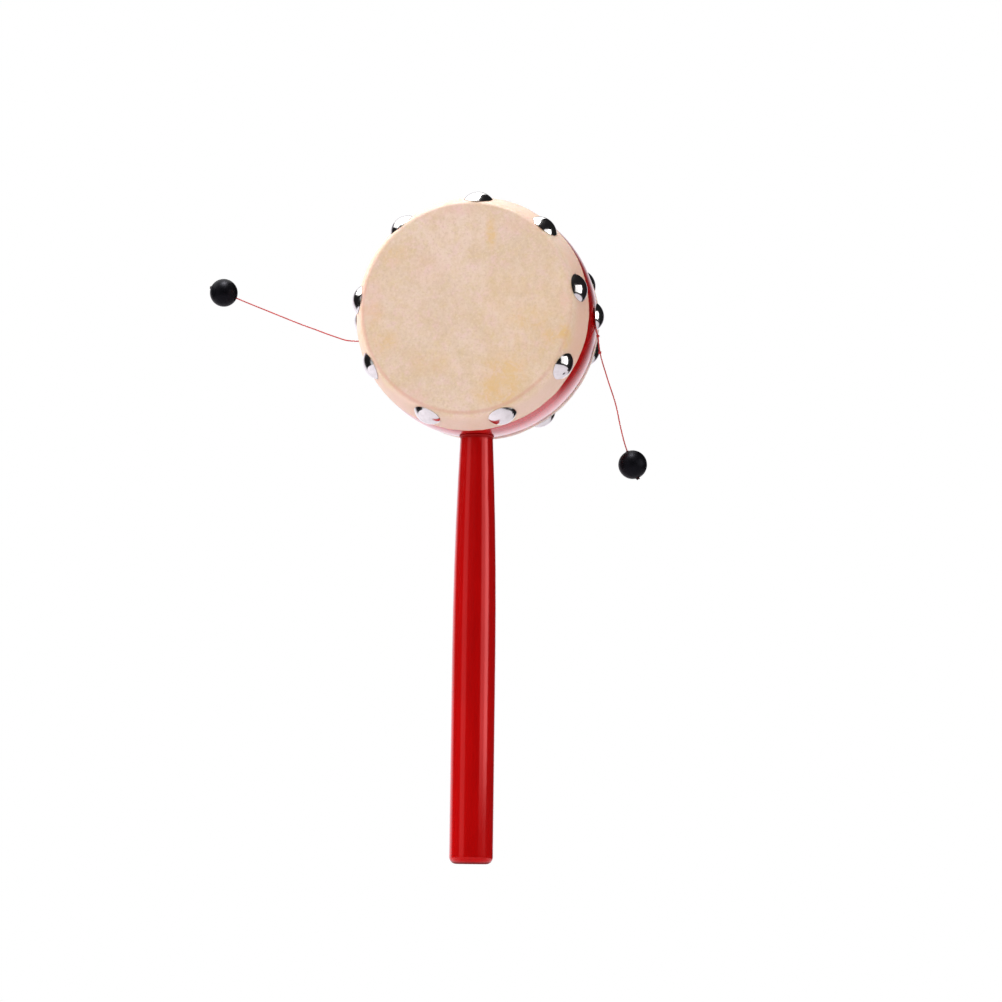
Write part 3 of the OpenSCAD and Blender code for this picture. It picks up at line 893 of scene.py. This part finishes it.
def make_head(word, end, tacks, seed, material):
    """One hide head: taut face, folded rim, and a skirt that puckers between its tacks."""
    section = hide_section()
    vertices = []
    for k in range(SPOKES):
        angle = 2 * math.pi * k / SPOKES
        pull = pull_of_tacks(angle, tacks)
        around = Vector((math.cos(angle), math.sin(angle), seed))
        ripple = sum(noise.noise(around * waves) * height for waves, height in RIPPLES)
        wave = EDGE_WAVE * noise.noise(around * EDGE_WAVES + EDGE_SHIFT) + EDGE_RIPPLE * ripple
        for i, (r, depth, (out_r, out_y), share) in enumerate(section):
            lift = hide_lift(i, r, share, around, pull, ripple)
            depth_here = depth + out_y * lift - share ** 3 * wave * out_r
            r_here = r + out_r * lift
            vertices.append(Vector((
                r_here * math.cos(angle), -end * depth_here, DRUM_Z + r_here * math.sin(angle))) * MM)
    rings = len(section)
    faces = []
    for k in range(SPOKES):
        n = (k + 1) % SPOKES
        for i in range(rings - 1):
            faces.append((k * rings + i, k * rings + i + 1, n * rings + i + 1, n * rings + i))
    head = new_piece(word + "_skin", vertices, faces, material)
    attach(head, "drum")
    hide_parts(word + "_head")


# Floor, in metres

FLOOR_R = 0.72
FLOOR_SIDES = 96
FLOOR_Z = -0.12
FLOOR_WHITE = (0.85, 0.85, 0.85)
FLOOR_MIRRORED = (0.56, 0.52, 0.57)
FLOOR_GLOWS = {"Is Camera Ray": 0.5, "Is Transmission Ray": 0.5, "Is Glossy Ray": 0.1}


def floor_glow(tree, path):
    """What is added to the lit floor where the camera, a mirror or glass sees it."""
    total = 0.0
    for name, glow in FLOOR_GLOWS.items():
        total = calc_node(tree, "MULTIPLY_ADD", path[name], glow, total)
    return total


def make_floor():
    """A plain white floor under the object, which keeps its shadow."""
    vertices = [(0, 0, 0)]
    for k in range(FLOOR_SIDES):
        angle = 2 * math.pi * k / FLOOR_SIDES
        vertices.append((FLOOR_R * math.cos(angle), FLOOR_R * math.sin(angle), 0))
    faces = [(0, 1 + k, 1 + (k + 1) % FLOOR_SIDES) for k in range(FLOOR_SIDES)]
    material = bpy.data.materials.new("floor_white")
    material.use_nodes = True
    tree = material.node_tree
    shader = tree.nodes["Principled BSDF"]
    path = tree.nodes.new("ShaderNodeLightPath").outputs
    base = mix_node(tree, path["Is Glossy Ray"], FLOOR_WHITE, FLOOR_MIRRORED)
    tree.links.new(base, shader.inputs["Base Color"])
    shader.inputs["Roughness"].default_value = 0.9
    shader.inputs["Emission Color"].default_value = (1, 1, 1, 1)
    tree.links.new(floor_glow(tree, path), shader.inputs["Emission Strength"])
    floor = new_piece("floor", vertices, faces, material)
    floor.location = (0, 0, FLOOR_Z)


# World: an even fill that lights, and the studio that mirrors show

FILL = 0.65
FILL_TILT = 0.12
FILL_BACK = 0.2
BACKDROP = (-0.40, 0.88, -0.25)
BACKDROP_EDGE, BACKDROP_FULL = 0.61, 0.86
BACKDROP_LEVEL = 1.1
ROOM = 0.013
WHITE = (1.0, 1.0, 1.0)
MIRRORED_WHITE = (0.97, 0.93, 1.0)


def make_world():
    """White to the camera, an even fill for the light, and a dark studio round a white backdrop."""
    world = bpy.data.worlds.new("studio")
    bpy.context.scene.world = world
    world.use_nodes = True
    world.cycles.sampling_method = "NONE"
    tree = world.node_tree
    tree.nodes.clear()
    path = tree.nodes.new("ShaderNodeLightPath").outputs
    way = tree.nodes.new("ShaderNodeTexCoord").outputs["Generated"]
    along = vector_node(tree, "DOT_PRODUCT", way, BACKDROP).outputs["Value"]
    studio = ease_node(tree, along, BACKDROP_EDGE, BACKDROP_FULL, ROOM, BACKDROP_LEVEL)
    axes = tree.nodes.new("ShaderNodeSeparateXYZ")
    tree.links.new(way, axes.inputs["Vector"])
    fill = calc_node(tree, "MULTIPLY_ADD", axes.outputs["X"], -FILL_TILT, FILL)
    fill = calc_node(tree, "MULTIPLY_ADD", axes.outputs["Y"], FILL_BACK, fill)
    change = calc_node(tree, "SUBTRACT", studio, fill)
    level = calc_node(tree, "MULTIPLY_ADD", path["Is Glossy Ray"], change, fill)
    seen = calc_node(tree, "MAXIMUM", path["Is Camera Ray"], path["Is Transmission Ray"])
    background = tree.nodes.new("ShaderNodeBackground")
    tint = mix_node(tree, path["Is Glossy Ray"], WHITE, MIRRORED_WHITE)
    tree.links.new(tint, background.inputs["Color"])
    tree.links.new(calc_node(tree, "MAXIMUM", level, seen), background.inputs["Strength"])
    output = tree.nodes.new("ShaderNodeOutputWorld")
    tree.links.new(background.outputs["Background"], output.inputs["Surface"])


# Lights: width, height and radiance, after the place or after azimuth, elevation and distance

CEILING_PANEL = ("ceiling_panel", (-0.325, 0.08, 0.79), 0.85, 1.04, 2.05)
LEFT_CEILING = ("left_ceiling", (-0.96, -0.05, 0.79), 0.42, 0.85, 2.3)
MIRRORED_BOXES = [
    ("right_box", 70, 5, 0.6, 0.48, 0.42, 1.15),
    ("right_core", 82, 5, 0.58, 0.23, 0.40, 1.5),
    ("left_strip", -42, 6, 0.8, 0.38, 0.9, 0.55),
    ("bead_gleam", -20, 75, 0.55, 0.22, 0.22, 36.0),
]
FILL_BOXES = [
    ("top_box", -25, 82, 0.58, 0.22, 0.22, 5.5),
    ("front_fill", -12, 20, 1.3, 1.0, 0.8, 1.28),
    ("left_fill", -86, 20, 1.2, 0.7, 0.7, 4.9),
    ("right_fill", 80, 0, 1.0, 0.5, 0.5, 2.4),
]


def make_light(name, place, facing, width, height, radiance):
    """A soft box as bright as radiance when it is seen in a mirror."""
    data = bpy.data.lights.new(name, "AREA")
    data.shape = "RECTANGLE"
    data.size = width
    data.size_y = height
    data.energy = radiance * math.pi * width * height
    light = bpy.data.objects.new(name, data)
    light.location = place
    light.rotation_mode = "QUATERNION"
    light.rotation_quaternion = facing.to_track_quat("-Z", "Y")
    light.visible_camera = False
    bpy.context.collection.objects.link(light)
    return light


def ceiling_light(name, place, width, height, radiance):
    """A soft box that faces straight down."""
    return make_light(name, Vector(place), Vector((0, 0, -1)), width, height, radiance)


def aimed_light(name, azimuth, elevation, distance, width, height, radiance):
    """A soft box that faces the drum: azimuth 0 is in front, 90 at its right."""
    a, e = math.radians(azimuth), math.radians(elevation)
    way = Vector((math.sin(a) * math.cos(e), -math.cos(a) * math.cos(e), math.sin(e)))
    return make_light(name, Vector((0, 0, DRUM_Z * MM)) + way * distance, -way, width, height, radiance)


def make_lights():
    """A ceiling, soft boxes that only show in the domes and the lacquer, and fills that do not."""
    ceiling_light(*CEILING_PANEL)
    ceiling_light(*LEFT_CEILING).visible_diffuse = False
    for box in MIRRORED_BOXES:
        aimed_light(*box).visible_diffuse = False
    for box in FILL_BOXES:
        aimed_light(*box).visible_glossy = False


# Everything

SHELL_GRAIN, SHELL_COATS = (1.0, 0.08, 1.0), (0.8, 0.7)
HANDLE_GRAIN, HANDLE_COATS = (1.0, 1.0, 0.06), (0.38, 0.34)


def dress(material, *names):
    """Gives CAD nodes their detailed material."""
    for name in names:
        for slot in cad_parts[name].material_slots:
            slot.material = material


make_camera()
thread = cord_paint()
dipped = dipped_paint()
make_cord(RIGHT_ROUTE, 1, "right", RIGHT_BEAD_AT, thread, dipped)
make_cord(LEFT_ROUTE, -1, "left", LEFT_BEAD_AT, thread, dipped)
make_hitch(1, "right", thread)
make_hitch(-1, "left", thread)
skin = hide_paint()
make_head("front", 1, FRONT_TACKS, FRONT_SEED, skin)
make_head("rear", -1, REAR_TACKS, REAR_SEED, skin)
dress(nickel_paint(), "front_tacks", "rear_tacks", "right_cord_tack", "left_cord_tack")
dress(lacquer_paint("shell_lacquer", SHELL_GRAIN, SHELL_COATS, False), "shell")
dress(lacquer_paint("handle_lacquer", HANDLE_GRAIN, HANDLE_COATS, True), "handle")
dress(bead_paint(), "right_bead", "left_bead")
make_floor()
make_world()
make_lights()
bpy.context.scene.view_settings.view_transform = "Standard"
